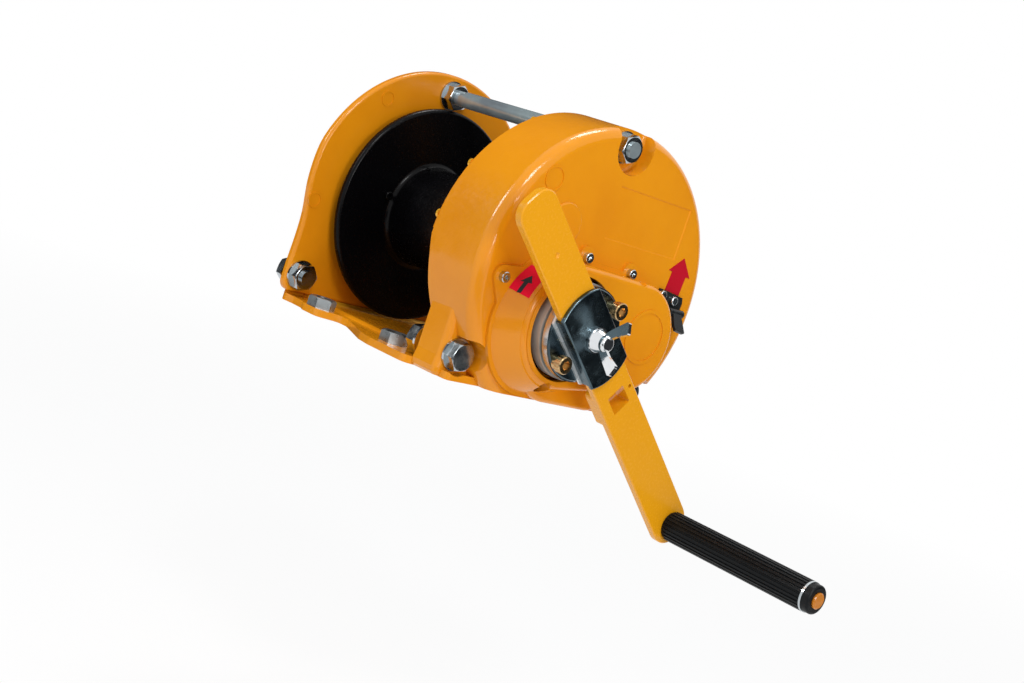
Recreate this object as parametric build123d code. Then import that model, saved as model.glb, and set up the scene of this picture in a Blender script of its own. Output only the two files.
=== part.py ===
from build123d import *
import math
import os

# Drawing frame: drum axis on X, gear case front face at X = 0, +X to the crank, +Y rear, +Z up.
# Saved frame: moved so the origin is the centre of the base bolt pattern on the underside.
AXIS_Z = 94.0
FACE_X = 131.0

# Base plate
BASE_X0, BASE_X1 = -222.0, -44.0
BASE_BOTTOM, BASE_TOP = -94.0, -88.5
TAB_T = 5.5
TAB_TOP = -58.0
LIP_X0, LIP_X1, LIP_Y0, LIP_Y1, LIP_TOP = -200.0, -64.0, 100.3, 103.8, -77.0
RIB_X0, RIB_X1, RIB_Y, RIB_R = -190.0, -70.0, 72.0, 6.0
MOUNT_HALF_X, MOUNT_HALF_Y = 45.75, 90.0
MOUNT_XY = [(-131 + i * MOUNT_HALF_X, j * MOUNT_HALF_Y) for i in (-1, 1) for j in (-1, 1)]

# Left side plate
PLATE_X0, PLATE_X1 = -216.5, -211.0
PLATE_R, PLATE_SHIFT = 114.6, 2.3
PLATE_ARC_Z, PLATE_BOTTOM = 45.0, -86.0

# Tie rod and foot bolts
TIE_YZ = (-1.5, PLATE_R - 16.2)
TIE_BODY_R = 6.5
PLATE_FOOT_Y, PLATE_FOOT_Z = PLATE_R - 22.6, -72.0
PLATE_FOOT_YZ = [(-PLATE_FOOT_Y, PLATE_FOOT_Z), (PLATE_FOOT_Y, PLATE_FOOT_Z)]
CASE_FOOT_Y, CASE_FOOT_Z = 91.0, -76.4
CASE_FOOT_YZ = [(-CASE_FOOT_Y, CASE_FOOT_Z), (CASE_FOOT_Y, CASE_FOOT_Z)]
M12_R, M12_HOLE_R, M12_ACROSS = 6.0, 6.5, 19.0
WASHER_R, WASHER_T = 12.0, 2.0

# Gear case
CASE_X0 = -57.5
CASE_YZ = (4.0, -3.2)
CASE_R_BACK, CASE_R_FRONT, CASE_FILLET = 116.2, 115.4, 9.0
CASE_BORE, CASE_WALL, CASE_FLOOR = 106.0, 6.0, -83.5
FOOT_X0, FOOT_X1 = -44.0, -18.5
FOOT_SIDE, LEDGE_X1, LEDGE_TOP = 103.6, -10.5, -88.6
POSTS = [(0.0, 72.0), (-73.0, -5.0), (4.0, -72.5), (69.0, 24.0)]
BACK_SCREW_DEG = (9, 40, 75, 118, 150, 172)
BACK_SCREW_R = CASE_R_BACK - 4.5
PIN_R = 4.0
SPOT_R = 14.0

# Gear cover
CRANK_YZ = (-28.2, -35.4)
LOBE_YZ = (40.0, -32.0)
BOSS_R, LOBE_R = 46.0, 42.0
FLARE_YZ, FLARE_R = (-36.0, -39.5), 51.0
COVER_X, OPENING_R = 20.0, 39.0
COVER_SCREWS = [(-91.5, -13.2), (-18.0, 15.5), (32.0, 12.8)]
SUNK_SCREW = (-33.0, -81.0)
SKIRT_YZ, SKIRT_R = [(-18.0, -58.0), (26.0, -58.0)], 35.6

# Drum
DRUM_R, BARREL_R, HUB_R = 87.0, 40.0, 20.0
FAR_X0, FAR_X1 = -203.0, -196.0
NEAR_X0, NEAR_X1 = -68.0, -62.0
AXLE_R, BUSH_R, BUSH_T = 12.5, 15.0, 24.0
CLAMP_YZ, CLAMP_HEAD_R = (-45.4, 7.6), 3.4
WALL_T, HUB_T, WELD_R = 6.0, 14.0, 5.0
RING_SCREW_R, RING_SCREW_DEG = 66.0, range(0, 360, 60)
KEEPER_X0, KEEPER_X1, KEEPER_SCREW_Z = -225.5, -222.0, 17.5
SPACER_PLAY = 0.3

# Gears
MODULE = 2.5
ADDENDUM, DEDENDUM = 2.0, 2.6
BACKLASH = 0.15
Z_RING, Z_PINION, Z_MIDDLE, Z_CRANK = 58, 12, 34, 29
STAGE_X0, STAGE_X1 = -28.0, -14.0
SHAFT_R, SHAFT_HUB_R = 9.0, 11.0
CASE_BUSH_R, PLATE_BUSH_R = 13.0, 12.0
FIT = 0.04
BEARING_X0, BEARING_X1 = -36.0, -31.0
RIM_R, RIM_X0, RIM_X1, RIM_T = 80.5, -54.5, -40.0, 5.8

# Load brake
FLANGE_X0, FLANGE_X1, BRAKE_R = 1.5, 5.0, 34.0
DISC_T, RATCHET_BUSH_R = 3.0, 16.0
RATCHET_X0, RATCHET_X1 = FLANGE_X1 + DISC_T, 14.5
PRESSURE_X0, PRESSURE_X1, PRESSURE_R = RATCHET_X1 + DISC_T, 26.5, 36.0
HUB_RING_X0, HUB_RING_X1, HUB_RING_R = PRESSURE_X1 + 1.5, 33.0, 35.0
HUB_FACE = HUB_RING_X1 + 1.3
RATCHET_TEETH, RATCHET_ROOT, RATCHET_TIP, RATCHET_PLAY = 12, 32.5, 37.0, 0.1
PAWL_X0, PAWL_X1, PAWL_R = 8.5, 14.0, 7.0
SCREW_V, SCREW_R, SCREW_BORE_R = 29.5, 3.0, 3.2
BASE_SCREW_U, BASE_SCREW_R = 20.0, 2.0

# Crank arm, holder and grip
ARM_DEG = -39.28
ARM_X0, ARM_X1, ARM_HALF = 36.5, 42.5, 16.9
SOCKET_U0, SOCKET_U1, SQUARE_U, SQUARE = 44.0, 78.0, 61.5, 16.0
CRANK_RADIUS = 200.0
ARM_U0, ARM_U1 = -127.0, CRANK_RADIUS + 14.0
HOLDER_R, HOLDER_HALF = 37.5, 18.9
WING_DEG = -4.0
GRIP_R, SPINDLE_R, GRIP_END_R = 11.9, 6.25, 9.2
GRIP_X0, GRIP_X1, GRIP_CAP_T = 44.5, 178.0, 8.0
GRIP_PLAY = 0.06
RIBS = 24

# Release lever
LEVER_SCREWS = [(74.0, 4.6), (88.5, 2.4)]
BRACKET_T = 2.5
HINGE_X, HINGE_Z = 5.9, -6.0
HINGE_Y0, HINGE_Y1, KNUCKLE_R, HINGE_PIN_R = 83.0, 99.5, 3.2, 1.5
KNUCKLE_W, KNUCKLE_GAP = 3.0, 0.3


def polar(r, deg, centre=(0.0, 0.0)):
    a = math.radians(deg)
    return centre[0] + r * math.cos(a), centre[1] + r * math.sin(a)


def middle_axis():
    """Intermediate shaft axis from the two gear centre distances."""
    a = MODULE * (Z_RING - Z_PINION) / 2
    b = MODULE * (Z_MIDDLE + Z_CRANK) / 2
    d = math.hypot(*CRANK_YZ)
    along = (a * a - b * b + d * d) / (2 * d)
    off = math.sqrt(a * a - along * along)
    uy, uz = CRANK_YZ[0] / d, CRANK_YZ[1] / d
    return along * uy - off * uz, along * uz + off * uy


MIDDLE_YZ = middle_axis()
PAWL_PIVOTS = [polar(50.0, 20, CRANK_YZ), polar(47.0, -38, CRANK_YZ)]


# Shape helpers
def rod(r, x0, x1, yz=(0, 0)):
    return Pos((x0 + x1) / 2, yz[0], yz[1]) * Rot(0, 90, 0) * Cylinder(r, x1 - x0)


def tube(r_out, r_in, x0, x1, yz=(0, 0)):
    return rod(r_out, x0, x1, yz) - rod(r_in, x0 - 1, x1 + 1, yz)


def cone(r0, r1, x0, x1, yz=(0, 0)):
    return Pos((x0 + x1) / 2, yz[0], yz[1]) * Rot(0, 90, 0) * Cone(r0, r1, x1 - x0)


def block(x0, x1, y0, y1, z0, z1):
    return Pos((x0 + x1) / 2, (y0 + y1) / 2, (z0 + z1) / 2) * Box(x1 - x0, y1 - y0, z1 - z0)


def wall_plane(x):
    return Plane(origin=(x, 0, 0), x_dir=(0, 1, 0), z_dir=(1, 0, 0))


def slab(sketch, x0, x1):
    """Solid from a sketch drawn in (Y, Z)."""
    return extrude(wall_plane(x0) * sketch, amount=x1 - x0)


def poly(points):
    return make_face(Polyline(*points, close=True))


def disc(r, yz=(0, 0)):
    return Pos(yz[0], yz[1]) * Circle(r)


def hull2(c0, r0, c1, r1):
    """Two discs joined by their outer tangents."""
    dy, dz = c1[0] - c0[0], c1[1] - c0[1]
    base = math.degrees(math.atan2(dz, dy))
    tilt = math.degrees(math.acos((r0 - r1) / math.hypot(dy, dz)))
    pts = [polar(r0, base + tilt, c0), polar(r1, base + tilt, c1)]
    pts += [polar(r1, base - tilt, c1), polar(r0, base - tilt, c0)]
    return disc(r0, c0) + disc(r1, c1) + poly(pts)


def face_at(shape, last=True):
    return shape.faces().sort_by(Axis.X)[-1 if last else 0]


def hex_prism(across, x0, x1, yz, turn=0.0):
    return slab(Pos(yz[0], yz[1]) * Rot(0, 0, turn) * RegularPolygon(across / math.sqrt(3), 6), x0, x1)


def hex_body(across, x0, x1, yz, turn=0.0, ends="+"):
    """Hexagon with its corners turned off on the named sides."""
    wide, flat, depth = across / math.sqrt(3) + 0.1, across / 2 - 0.2, 1.0
    lo = x0 + depth if "-" in ends else x0
    hi = x1 - depth if "+" in ends else x1
    turned = rod(wide, lo, hi, yz)
    if "-" in ends:
        turned += cone(flat, wide, x0, lo, yz)
    if "+" in ends:
        turned += cone(wide, flat, hi, x1, yz)
    return hex_prism(across, x0, x1, yz, turn) & turned


def arm_point(u, v=0.0):
    """Point along and across the arm, in (Y, Z)."""
    c, s = math.cos(math.radians(ARM_DEG)), math.sin(math.radians(ARM_DEG))
    return CRANK_YZ[0] + u * c - v * s, CRANK_YZ[1] + u * s + v * c


def on_arm(sketch):
    return Pos(CRANK_YZ[0], CRANK_YZ[1]) * Rot(0, 0, ARM_DEG) * sketch


SCREW_YZ = [arm_point(0, SCREW_V), arm_point(0, -SCREW_V)]
GRIP_YZ = arm_point(CRANK_RADIUS)


# Base
def base_outline():
    """Front edge with a shallow waist, rear edge straight."""
    left, right = PLATE_FOOT_Y + 6, CASE_FOOT_Y + 19
    front = [(BASE_X0, -left), (-204, 2 - left), (-191, 1 - left), (-184, -left - 3), (-166, -left - 3)]
    front += [(-159, -84), (-148, -84), (-131, -92.5), (-104, 3.5 - right), (-89, -right), (BASE_X1, -right)]
    face = poly(front + [(BASE_X1, right), (BASE_X0, left + 6)])
    waist = [v for v in face.vertices() if BASE_X0 + 10 < v.X < BASE_X1 - 10]
    face = fillet(waist, 6)
    ends = [v for v in face.vertices() if min(abs(v.X - BASE_X0), abs(v.X - BASE_X1)) < 0.1]
    return fillet(ends, 8)


def base_plate():
    face = base_outline()
    plate = extrude(Pos(0, 0, BASE_BOTTOM) * face, amount=BASE_TOP - BASE_BOTTOM)
    for x0, foot, outer in ((BASE_X0, PLATE_FOOT_Y, 9), (BASE_X1 - TAB_T, CASE_FOOT_Y, 7)):
        x1 = x0 + TAB_T
        for s in (-1, 1):
            y0, y1 = sorted((s * (foot - 14), s * (foot + outer)))
            tab = block(x0, x1, y0, y1, BASE_BOTTOM, TAB_TOP)
            tab = fillet(tab.edges().filter_by(Axis.X).group_by(Axis.Z)[-1], 9)
            plate += tab & extrude(Pos(0, 0, BASE_BOTTOM) * face, amount=60)
    for s in (-1, 1):
        rib = rod(RIB_R, RIB_X0, RIB_X1, (s * RIB_Y, BASE_TOP - 4.0))
        rib = fillet(rib.edges().filter_by(GeomType.CIRCLE), 2.5)
        plate += rib & block(RIB_X0 - 1, RIB_X1 + 1, -120, 120, BASE_TOP - 2, 0)
    plate += block(LIP_X0, LIP_X1, LIP_Y0, LIP_Y1, BASE_BOTTOM + 1, LIP_TOP)
    for x, y in MOUNT_XY:
        plate -= Pos(x, y, BASE_TOP) * Cylinder(M12_HOLE_R, 20)
    for yz in PLATE_FOOT_YZ:
        plate -= rod(M12_HOLE_R, BASE_X0 - 1, BASE_X0 + TAB_T + 1, yz)
    for yz in CASE_FOOT_YZ:
        plate -= rod(M12_HOLE_R, BASE_X1 - TAB_T - 1, BASE_X1 + 1, yz)
    return plate


def base_nuts():
    solids = []
    for x, y in MOUNT_XY:
        nut = extrude(Pos(x, y, BASE_TOP) * RegularPolygon(M12_ACROSS / math.sqrt(3), 6), amount=8.0)
        turned = Pos(x, y, BASE_TOP + 4.0) * Cylinder(11.1, 8.0)
        turned = chamfer(turned.faces().sort_by(Axis.Z)[-1].edges(), 1.3)
        solids.append((nut & turned) - Pos(x, y, BASE_TOP) * Cylinder(M12_R, 30))
    return solids


# Left side plate
def plate_outline():
    """Round top, sides drawn in above the feet."""
    low_inset = [(7.8, -12), (9.7, -23), (10.5, -36), (10.4, -50), (9.9, -64), (9.9, -78)]
    rear_inset = [(4.0, 33), (3.0, 21), (3.6, 10), (5.4, -1)] + low_inset
    front_inset = [(7.3, 33), (5.6, 21), (5.3, 10), (6.0, -1)] + low_inset
    start = math.sqrt(PLATE_R ** 2 - PLATE_ARC_Z ** 2)
    rear = [(start + PLATE_SHIFT, PLATE_ARC_Z)] + [(PLATE_R - d, z) for d, z in rear_inset]
    front = [(PLATE_SHIFT - start, PLATE_ARC_Z)] + [(d - PLATE_R, z) for d, z in front_inset]
    edge, low = rear[-1]
    rear = Spline(*rear, tangents=[(PLATE_ARC_Z, -start), (0, -1)])
    front = Spline(*reversed(front), tangents=[(0, 1), (PLATE_ARC_Z, start)])
    corner_r = ThreePointArc((edge, low), (edge - 2.3, low - 5.7), (edge - 8, PLATE_BOTTOM))
    corner_f = ThreePointArc((8 - edge, PLATE_BOTTOM), (2.3 - edge, low - 5.7), (-edge, low))
    ends = [(PLATE_SHIFT - start, PLATE_ARC_Z), (PLATE_SHIFT + start, PLATE_ARC_Z)]
    top = ThreePointArc(ends[0], (PLATE_SHIFT, PLATE_R), ends[1])
    bottom = Line((edge - 8, PLATE_BOTTOM), (8 - edge, PLATE_BOTTOM))
    return make_face(Curve() + [top, rear, corner_r, bottom, corner_f, front])


def left_side_plate():
    plate = slab(plate_outline(), PLATE_X0, PLATE_X1)
    plate = fillet(face_at(plate).outer_wire().edges(), 2.5)
    plate += rod(24.0, PLATE_X0 - 5.5, PLATE_X0 + 0.5)
    plate -= rod(AXLE_R, -230, -200)
    plate -= rod(M12_HOLE_R, -230, -200, TIE_YZ)
    for z in (-KEEPER_SCREW_Z, KEEPER_SCREW_Z):
        plate -= rod(2.5, -230, PLATE_X0 - 0.9, (0, z))
    for yz in PLATE_FOOT_YZ:
        plate -= rod(M12_HOLE_R, -230, -200, yz)
    for deg in (128, 187):
        plate += tube(6.5, 4.9, PLATE_X1 - 0.5, PLATE_X1 + 0.6, polar(101, deg))
    return plate


# Gear case
def case_body():
    body = cone(CASE_R_BACK, CASE_R_FRONT, CASE_X0, 0, CASE_YZ)
    body = fillet(face_at(body).edges(), CASE_FILLET)
    body -= block(-80, 20, -130, 130, -140, BASE_BOTTOM)
    body -= block(-80, FOOT_X0, -130, 130, -140, BASE_TOP + 0.2)
    return body


def case_feet():
    side = [(60.0, -40), (FOOT_SIDE - 3, -40), (FOOT_SIDE, -46), (FOOT_SIDE, -80), (FOOT_SIDE + 1.4, -88)]
    side += [(FOOT_SIDE + 0.8, -92.0), (FOOT_SIDE - 2, BASE_BOTTOM), (60.0, BASE_BOTTOM)]
    feet = None
    for s in (-1, 1):
        foot = slab(poly([(s * y, z) for y, z in side]), FOOT_X0, FOOT_X1)
        outer = [e for e in face_at(foot).edges() if abs(e.center().Y) > 95 and e.center().Z < -45]
        foot = fillet(outer, 5.0)
        y0, y1 = sorted((s * 40.0, s * (FOOT_SIDE - 4)))
        ledge = block(FOOT_X1 - 5, LEDGE_X1, y0, y1, BASE_BOTTOM, LEDGE_TOP)
        corner = [e for e in face_at(ledge).edges().filter_by(Axis.Z) if abs(e.center().Y) > 90]
        foot += fillet(corner, 4.0)
        feet = foot if feet is None else feet + foot
    return feet


def case_hollow():
    bore = rod(CASE_BORE, -80, -CASE_WALL, CASE_YZ)
    hollow = bore - block(-90, 20, -130, 130, -140, CASE_FLOOR)
    for s in (-1, 1):
        y0, y1 = sorted((s * 71.0, s * 130.0))
        hollow -= block(-90, 20, y0, y1, -130, -51)
    return hollow + (rod(45.6, -30, -CASE_WALL, MIDDLE_YZ) & bore)


def heel_cut(y0, y1):
    """Rear of the case drawn forward towards the foot."""
    line = [(-80, -130), (FOOT_X0, -130), (FOOT_X0, -58), (-45.5, -53), (-50, -36)]
    line += [(-54, -15), (-58.5, 2), (-80, 2)]
    face = Plane(origin=(0, y1, 0), x_dir=(1, 0, 0), z_dir=(0, -1, 0)) * poly(line)
    return extrude(face, amount=y1 - y0)


def case_bosses():
    parts = [rod(13, CASE_X0, -6, TIE_YZ), rod(23.5, -20, -5, TIE_YZ)]
    parts += [rod(16, -12, -5, CRANK_YZ), rod(16, -12, -5, MIDDLE_YZ)]
    parts += [rod(5.5, BEARING_X1, -5, yz) for yz in POSTS]
    parts += [rod(8.0, -9, -5, yz) for yz in PAWL_PIVOTS]
    return parts


def gear_case():
    body = case_body()
    case = body + case_feet() - case_hollow()
    for boss in case_bosses():
        case += boss & body
    for s in (-1, 1):
        y0, y1 = sorted((s * 76.5, s * 130.0))
        case -= heel_cut(y0, y1)
    case -= tie_pocket()
    for yz in CASE_FOOT_YZ:
        case -= rod(M12_HOLE_R, -60, 5, yz) + rod(SPOT_R, FOOT_X1, 10, yz)
    case -= rod(CASE_BUSH_R, -20, 2, CRANK_YZ) + rod(CASE_BUSH_R, -20, -2.5, MIDDLE_YZ)
    for yz in POSTS:
        case -= rod(2.1, -40, -12, yz)
    for yz in PAWL_PIVOTS:
        case -= rod(PIN_R, -7, 2, yz)
    for deg in BACK_SCREW_DEG:
        case -= rod(1.7, -70, -45, polar(BACK_SCREW_R, deg, CASE_YZ))
    for yz in COVER_SCREWS + [SUNK_SCREW]:
        case -= rod(1.9, -5.2, 2, yz)
    for yz in LEVER_SCREWS:
        case -= rod(1.6, -5.2, 2, yz)
    return case_marks(case)


def tie_pocket():
    """Pocket for the front tie rod nut, open to the top."""
    y, z = TIE_YZ
    cut = rod(18.5, -14, 5, TIE_YZ) + block(-14, 5, y - 18.5, y + 18.5, z, z + 30)
    cut = fillet(face_at(cut, False).outer_wire().edges().filter_by(GeomType.CIRCLE), 3)
    return cut + rod(M12_HOLE_R, -20.5, 5, TIE_YZ) + rod(7.3, -80, -20, TIE_YZ)


def case_marks(case):
    """Bare nameplate recess, small embossed circle and a soft round pad."""
    case -= block(-0.8, 3, -4, 78, 32, 71.5)
    case += tube(9.0, 7.9, -0.5, 0.7, (-71.5, 61.3))
    pad = rod(16.0, -1.0, 1.5, (-48.0, 33.0))
    return case + fillet(face_at(pad).edges(), 1.3)


def back_plate():
    edge = disc(CASE_R_BACK - 2, CASE_YZ)
    low = Pos(0, -64) * Rectangle(300, 132)
    edge = edge - (low - disc(CASE_BORE - 4, CASE_YZ))
    ring = slab(edge, -60.5, CASE_X0) - rod(82.0, -80, -50)
    ring -= block(-80, -50, -130, 130, -140, BASE_TOP + 0.5)
    for s in (-1, 1):
        y0, y1 = sorted((s * 76.0, s * 130.0))
        ring -= block(-80, -50, y0, y1, -130, -51)
    ring -= rod(7.3, -80, -50, TIE_YZ)
    for deg in BACK_SCREW_DEG:
        ring -= rod(2.1, -80, -50, polar(BACK_SCREW_R, deg, CASE_YZ))
    return ring


def back_plate_screws():
    spots = [polar(BACK_SCREW_R, d, CASE_YZ) for d in BACK_SCREW_DEG]
    return [cap_screw(1.7, 3.4, -52, CASE_X0 - 3, -63, yz, 2.5) for yz in spots]


def cap_screw(r, head_r, tip, seat, top, yz, socket):
    """Socket screw along X, head between seat and top."""
    lo, hi = sorted((seat, top))
    head = rod(head_r, lo, hi, yz)
    head = chamfer(face_at(head, top > seat).edges(), head_r * 0.12)
    depth = (hi - lo) * 0.55
    if top > seat:
        cut = hex_prism(socket, top - depth, top + 1, yz)
    else:
        cut = hex_prism(socket, top - 1, top + depth, yz)
    overlap = 0.2 if top > seat else -0.2
    return head - cut + rod(r, min(tip, seat + overlap), max(tip, seat + overlap), yz)


def bearing_plate():
    plate = rod(80.0, BEARING_X0, BEARING_X1) - rod(10.0, -40, -20)
    plate -= rod(PLATE_BUSH_R, -40, -20, CRANK_YZ) + rod(PLATE_BUSH_R, -40, -20, MIDDLE_YZ)
    for yz in POSTS:
        plate -= rod(2.5, -40, -20, yz)
    return plate


def bearing_plate_screws():
    return [cap_screw(2.1, 4.2, -14, BEARING_X0, BEARING_X0 - 3.5, yz, 3.2) for yz in POSTS]


# Gear cover
def flare():
    low = wall_plane(2.0) * disc(FLARE_R, FLARE_YZ)
    high = wall_plane(18.0) * disc(BOSS_R + 0.5, CRANK_YZ)
    return loft([low, high])


def cover_flange():
    parts = hull2(FLARE_YZ, FLARE_R + 2.6, LOBE_YZ, LOBE_R + 3.0)
    for yz in COVER_SCREWS[:1]:
        parts += hull2(FLARE_YZ, 40.0, yz, 8.0)
    for yz in COVER_SCREWS[1:]:
        parts += hull2((yz[0], -20.0), 8.0, yz, 8.0)
    return parts


def gear_cover():
    body = slab(cover_flange(), 0.0, 2.6)
    raised = slab(hull2(CRANK_YZ, BOSS_R, LOBE_YZ, LOBE_R), 1.0, COVER_X)
    raised = fillet(face_at(raised).edges(), 4.5)
    skirt = slab(hull2(SKIRT_YZ[0], SKIRT_R, SKIRT_YZ[1], SKIRT_R), 0.0, 9.0)
    body += raised + flare() + fillet(face_at(skirt).edges(), 4.0)
    body += tube(OPENING_R + 3.2, OPENING_R, COVER_X - 1, COVER_X + 1.0, CRANK_YZ)
    body -= slab(hull2(CRANK_YZ, 42.0, LOBE_YZ, 38.0), -1.0, 16.0)
    body -= rod(OPENING_R, 0, 30, CRANK_YZ)
    body += tube(21.0, 18.4, COVER_X - 1, COVER_X + 0.8, MIDDLE_YZ)
    for yz in COVER_SCREWS:
        body -= rod(2.1, -2, 5, yz) + rod(5.2, 2.6, 30, yz)
    body -= rod(2.1, -2, 30, SUNK_SCREW) + rod(5.0, 6.0, 30, SUNK_SCREW)
    return body


def cover_screws():
    solids = [cap_screw(1.9, 3.9, -5.0, 2.6, 6.4, yz, 3.0) for yz in COVER_SCREWS]
    solids.append(cap_screw(1.9, 3.9, -5.0, 6.0, 9.8, SUNK_SCREW, 3.0))
    return solids


# Drum group
def drum_barrel():
    """Tube with welded end walls, hubs and weld fillets at its ends."""
    body = rod(BARREL_R, FAR_X1 - 2, NEAR_X0 + 2)
    body += rod(DRUM_R, FAR_X1 - 2, FAR_X1) + rod(DRUM_R, NEAR_X0, NEAR_X0 + 2)
    roots = [e for e in body.edges().filter_by(GeomType.CIRCLE) if abs(e.radius - BARREL_R) < 0.01]
    roots = [e for e in roots if FAR_X1 - 1 < e.center().X < NEAR_X0 + 1]
    body = fillet(roots, WELD_R) & rod(BARREL_R + WELD_R + 0.2, FAR_X1, NEAR_X0)
    hollow = rod(BARREL_R - 7, FAR_X1 + WALL_T, NEAR_X0 - WALL_T)
    hollow -= rod(HUB_R, FAR_X1, FAR_X1 + WALL_T + HUB_T) + rod(HUB_R, NEAR_X0 - WALL_T - HUB_T, NEAR_X0)
    body -= hollow + rod(BUSH_R, FAR_X0, NEAR_X1)
    return body - rod(CLAMP_HEAD_R + 0.2, FAR_X1 - 1, FAR_X1 + WALL_T, CLAMP_YZ)


def drum_flanges():
    solids = []
    for x0, x1 in ((FAR_X0, FAR_X1), (NEAR_X0, NEAR_X1)):
        flange = rod(DRUM_R, x0, x1)
        flange = fillet(flange.edges().filter_by(GeomType.CIRCLE), 2.8)
        solids.append(flange - rod(BUSH_R, x0 - 1, x1 + 1))
    solids[0] -= rod(2.0, FAR_X0 - 1, FAR_X1 + 1, CLAMP_YZ)
    for deg in RING_SCREW_DEG:
        solids[1] -= rod(2.6, NEAR_X0 - 1, NEAR_X1 + 1, polar(RING_SCREW_R, deg))
    return solids


def drum_bushes():
    return [tube(BUSH_R, AXLE_R + FIT, x, x + BUSH_T) for x in (FAR_X0, NEAR_X1 - BUSH_T)]


def drum_axle():
    axle = rod(AXLE_R, KEEPER_X1, BEARING_X0) + rod(10.0, BEARING_X0 - 0.2, BEARING_X1 + 0.5)
    return axle - rod(2.5, KEEPER_X1 - 1, PLATE_X1 - 0.5)


def axle_keeper():
    plate = block(KEEPER_X0, KEEPER_X1, -15, 15, -21, 21)
    plate = fillet(plate.edges().filter_by(Axis.X), 5)
    for z in (-KEEPER_SCREW_Z, 0, KEEPER_SCREW_Z):
        plate -= rod(2.7, -230, -220, (0, z))
    return plate


def axle_keeper_screws():
    solids = []
    for z, tip in ((KEEPER_SCREW_Z, -217.5), (-KEEPER_SCREW_Z, -217.5), (0, -212.0)):
        solids.append(cap_screw(2.5, 4.6, tip, KEEPER_X0, KEEPER_X0 - 4, (0, z), 3.6))
    return solids


def axle_spacers():
    spans = ((PLATE_X1, FAR_X0 - SPACER_PLAY), (NEAR_X1 + SPACER_PLAY, BEARING_X0))
    return [tube(17.0, AXLE_R + 0.1, x0, x1) for x0, x1 in spans]


def rope_clamp_screw():
    return cap_screw(2.0, CLAMP_HEAD_R, FAR_X0 + 0.5, FAR_X1, FAR_X1 + 3.4, CLAMP_YZ, 2.6)


# Gear teeth
def involute(r, rb):
    if r <= rb:
        return 0.0
    a = math.acos(rb / r)
    return math.tan(a) - a


def gear_face(teeth, phase, add, ded, thin):
    """Gear outline with each involute flank in straight steps."""
    rp = MODULE * teeth / 2
    rb = rp * math.cos(math.radians(20))
    half = math.pi / (2 * teeth) - thin / (2 * rp)
    radii = [max(rb, rp - ded + 0.6), rp, rp + add * 0.55, rp + add]
    flank = [(r, half + involute(rp, rb) - involute(r, rb)) for r in radii]
    flank.insert(0, (rp - ded, flank[0][1] + 0.012))
    pts = []
    for i in range(teeth):
        mid = phase + 2 * math.pi * i / teeth
        pts += [(r * math.cos(mid - a), r * math.sin(mid - a)) for r, a in flank]
        pts += [(r * math.cos(mid + a), r * math.sin(mid + a)) for r, a in reversed(flank)]
    return poly(pts)


def heading(src, dst):
    return math.atan2(dst[1] - src[1], dst[0] - src[0])


def ring_gear():
    spaces = gear_face(Z_RING, heading((0, 0), MIDDLE_YZ), DEDENDUM, ADDENDUM, -BACKLASH)
    ring = slab(disc(RIM_R) - spaces, RIM_X0, RIM_X1)
    ring += tube(RIM_R, 58.0, NEAR_X1, NEAR_X1 + RIM_T) + tube(RIM_R, 76.5, NEAR_X1 + RIM_T - 0.2, RIM_X0 + 0.1)
    for deg in RING_SCREW_DEG:
        ring -= rod(3.0, NEAR_X1 - 1, RIM_X0, polar(RING_SCREW_R, deg))
    return ring


def ring_gear_screws():
    seat = NEAR_X1 + RIM_T
    spots = [polar(RING_SCREW_R, deg) for deg in RING_SCREW_DEG]
    return [cap_screw(2.6, 4.6, NEAR_X0 + 0.2, seat, seat + 0.8, yz, 3.0) for yz in spots]


# Intermediate shaft
def intermediate_shaft():
    face = gear_face(Z_PINION, heading((0, 0), MIDDLE_YZ), ADDENDUM, DEDENDUM, BACKLASH)
    shaft = slab(Pos(*MIDDLE_YZ) * face, -54.8, -41.0) + rod(12.0, -41.2, -37.0, MIDDLE_YZ)
    shaft += rod(SHAFT_R, -37.2, -3.0, MIDDLE_YZ)
    return shaft + rod(SHAFT_HUB_R, BEARING_X1 + 0.4, STAGE_X0, MIDDLE_YZ)


def intermediate_gear():
    face = gear_face(Z_MIDDLE, heading(MIDDLE_YZ, CRANK_YZ), ADDENDUM, DEDENDUM, BACKLASH)
    gear = slab(Pos(*MIDDLE_YZ) * face, STAGE_X0, STAGE_X1) - rod(SHAFT_R, -40, 0, MIDDLE_YZ)
    for deg in range(30, 390, 60):
        gear -= rod(7.0, -40, 0, polar(24.5, deg, MIDDLE_YZ))
    return gear


def shaft_bushes(yz, end):
    bore = SHAFT_R + FIT
    plate_bush = tube(PLATE_BUSH_R, bore, BEARING_X0, BEARING_X1, yz)
    return [plate_bush, tube(CASE_BUSH_R, bore, -12.0, end, yz)]


def intermediate_bushes():
    return shaft_bushes(MIDDLE_YZ, -2.6)


# Crank shaft and load brake
def crank_shaft():
    shaft = rod(SHAFT_R, BEARING_X0 - 1, HUB_RING_X1, CRANK_YZ)
    return shaft + rod(SHAFT_HUB_R, BEARING_X1 + 0.4, STAGE_X0, CRANK_YZ)


def crank_gear():
    phase = heading(CRANK_YZ, MIDDLE_YZ) + math.pi / Z_CRANK
    face = gear_face(Z_CRANK, phase, ADDENDUM, DEDENDUM, BACKLASH)
    return slab(Pos(*CRANK_YZ) * face, STAGE_X0, STAGE_X1) - rod(SHAFT_R, -40, 0, CRANK_YZ)


def crank_bushes():
    return shaft_bushes(CRANK_YZ, 0.0)


def brake_flange():
    return tube(BRAKE_R, SHAFT_R, FLANGE_X0, FLANGE_X1, CRANK_YZ)


def friction_discs():
    bore = RATCHET_BUSH_R + 0.2
    return [tube(BRAKE_R, bore, x, x + DISC_T, CRANK_YZ) for x in (FLANGE_X1, RATCHET_X1)]


def ratchet_bush():
    return tube(RATCHET_BUSH_R, SHAFT_R, FLANGE_X1, PRESSURE_X0, CRANK_YZ)


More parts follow.
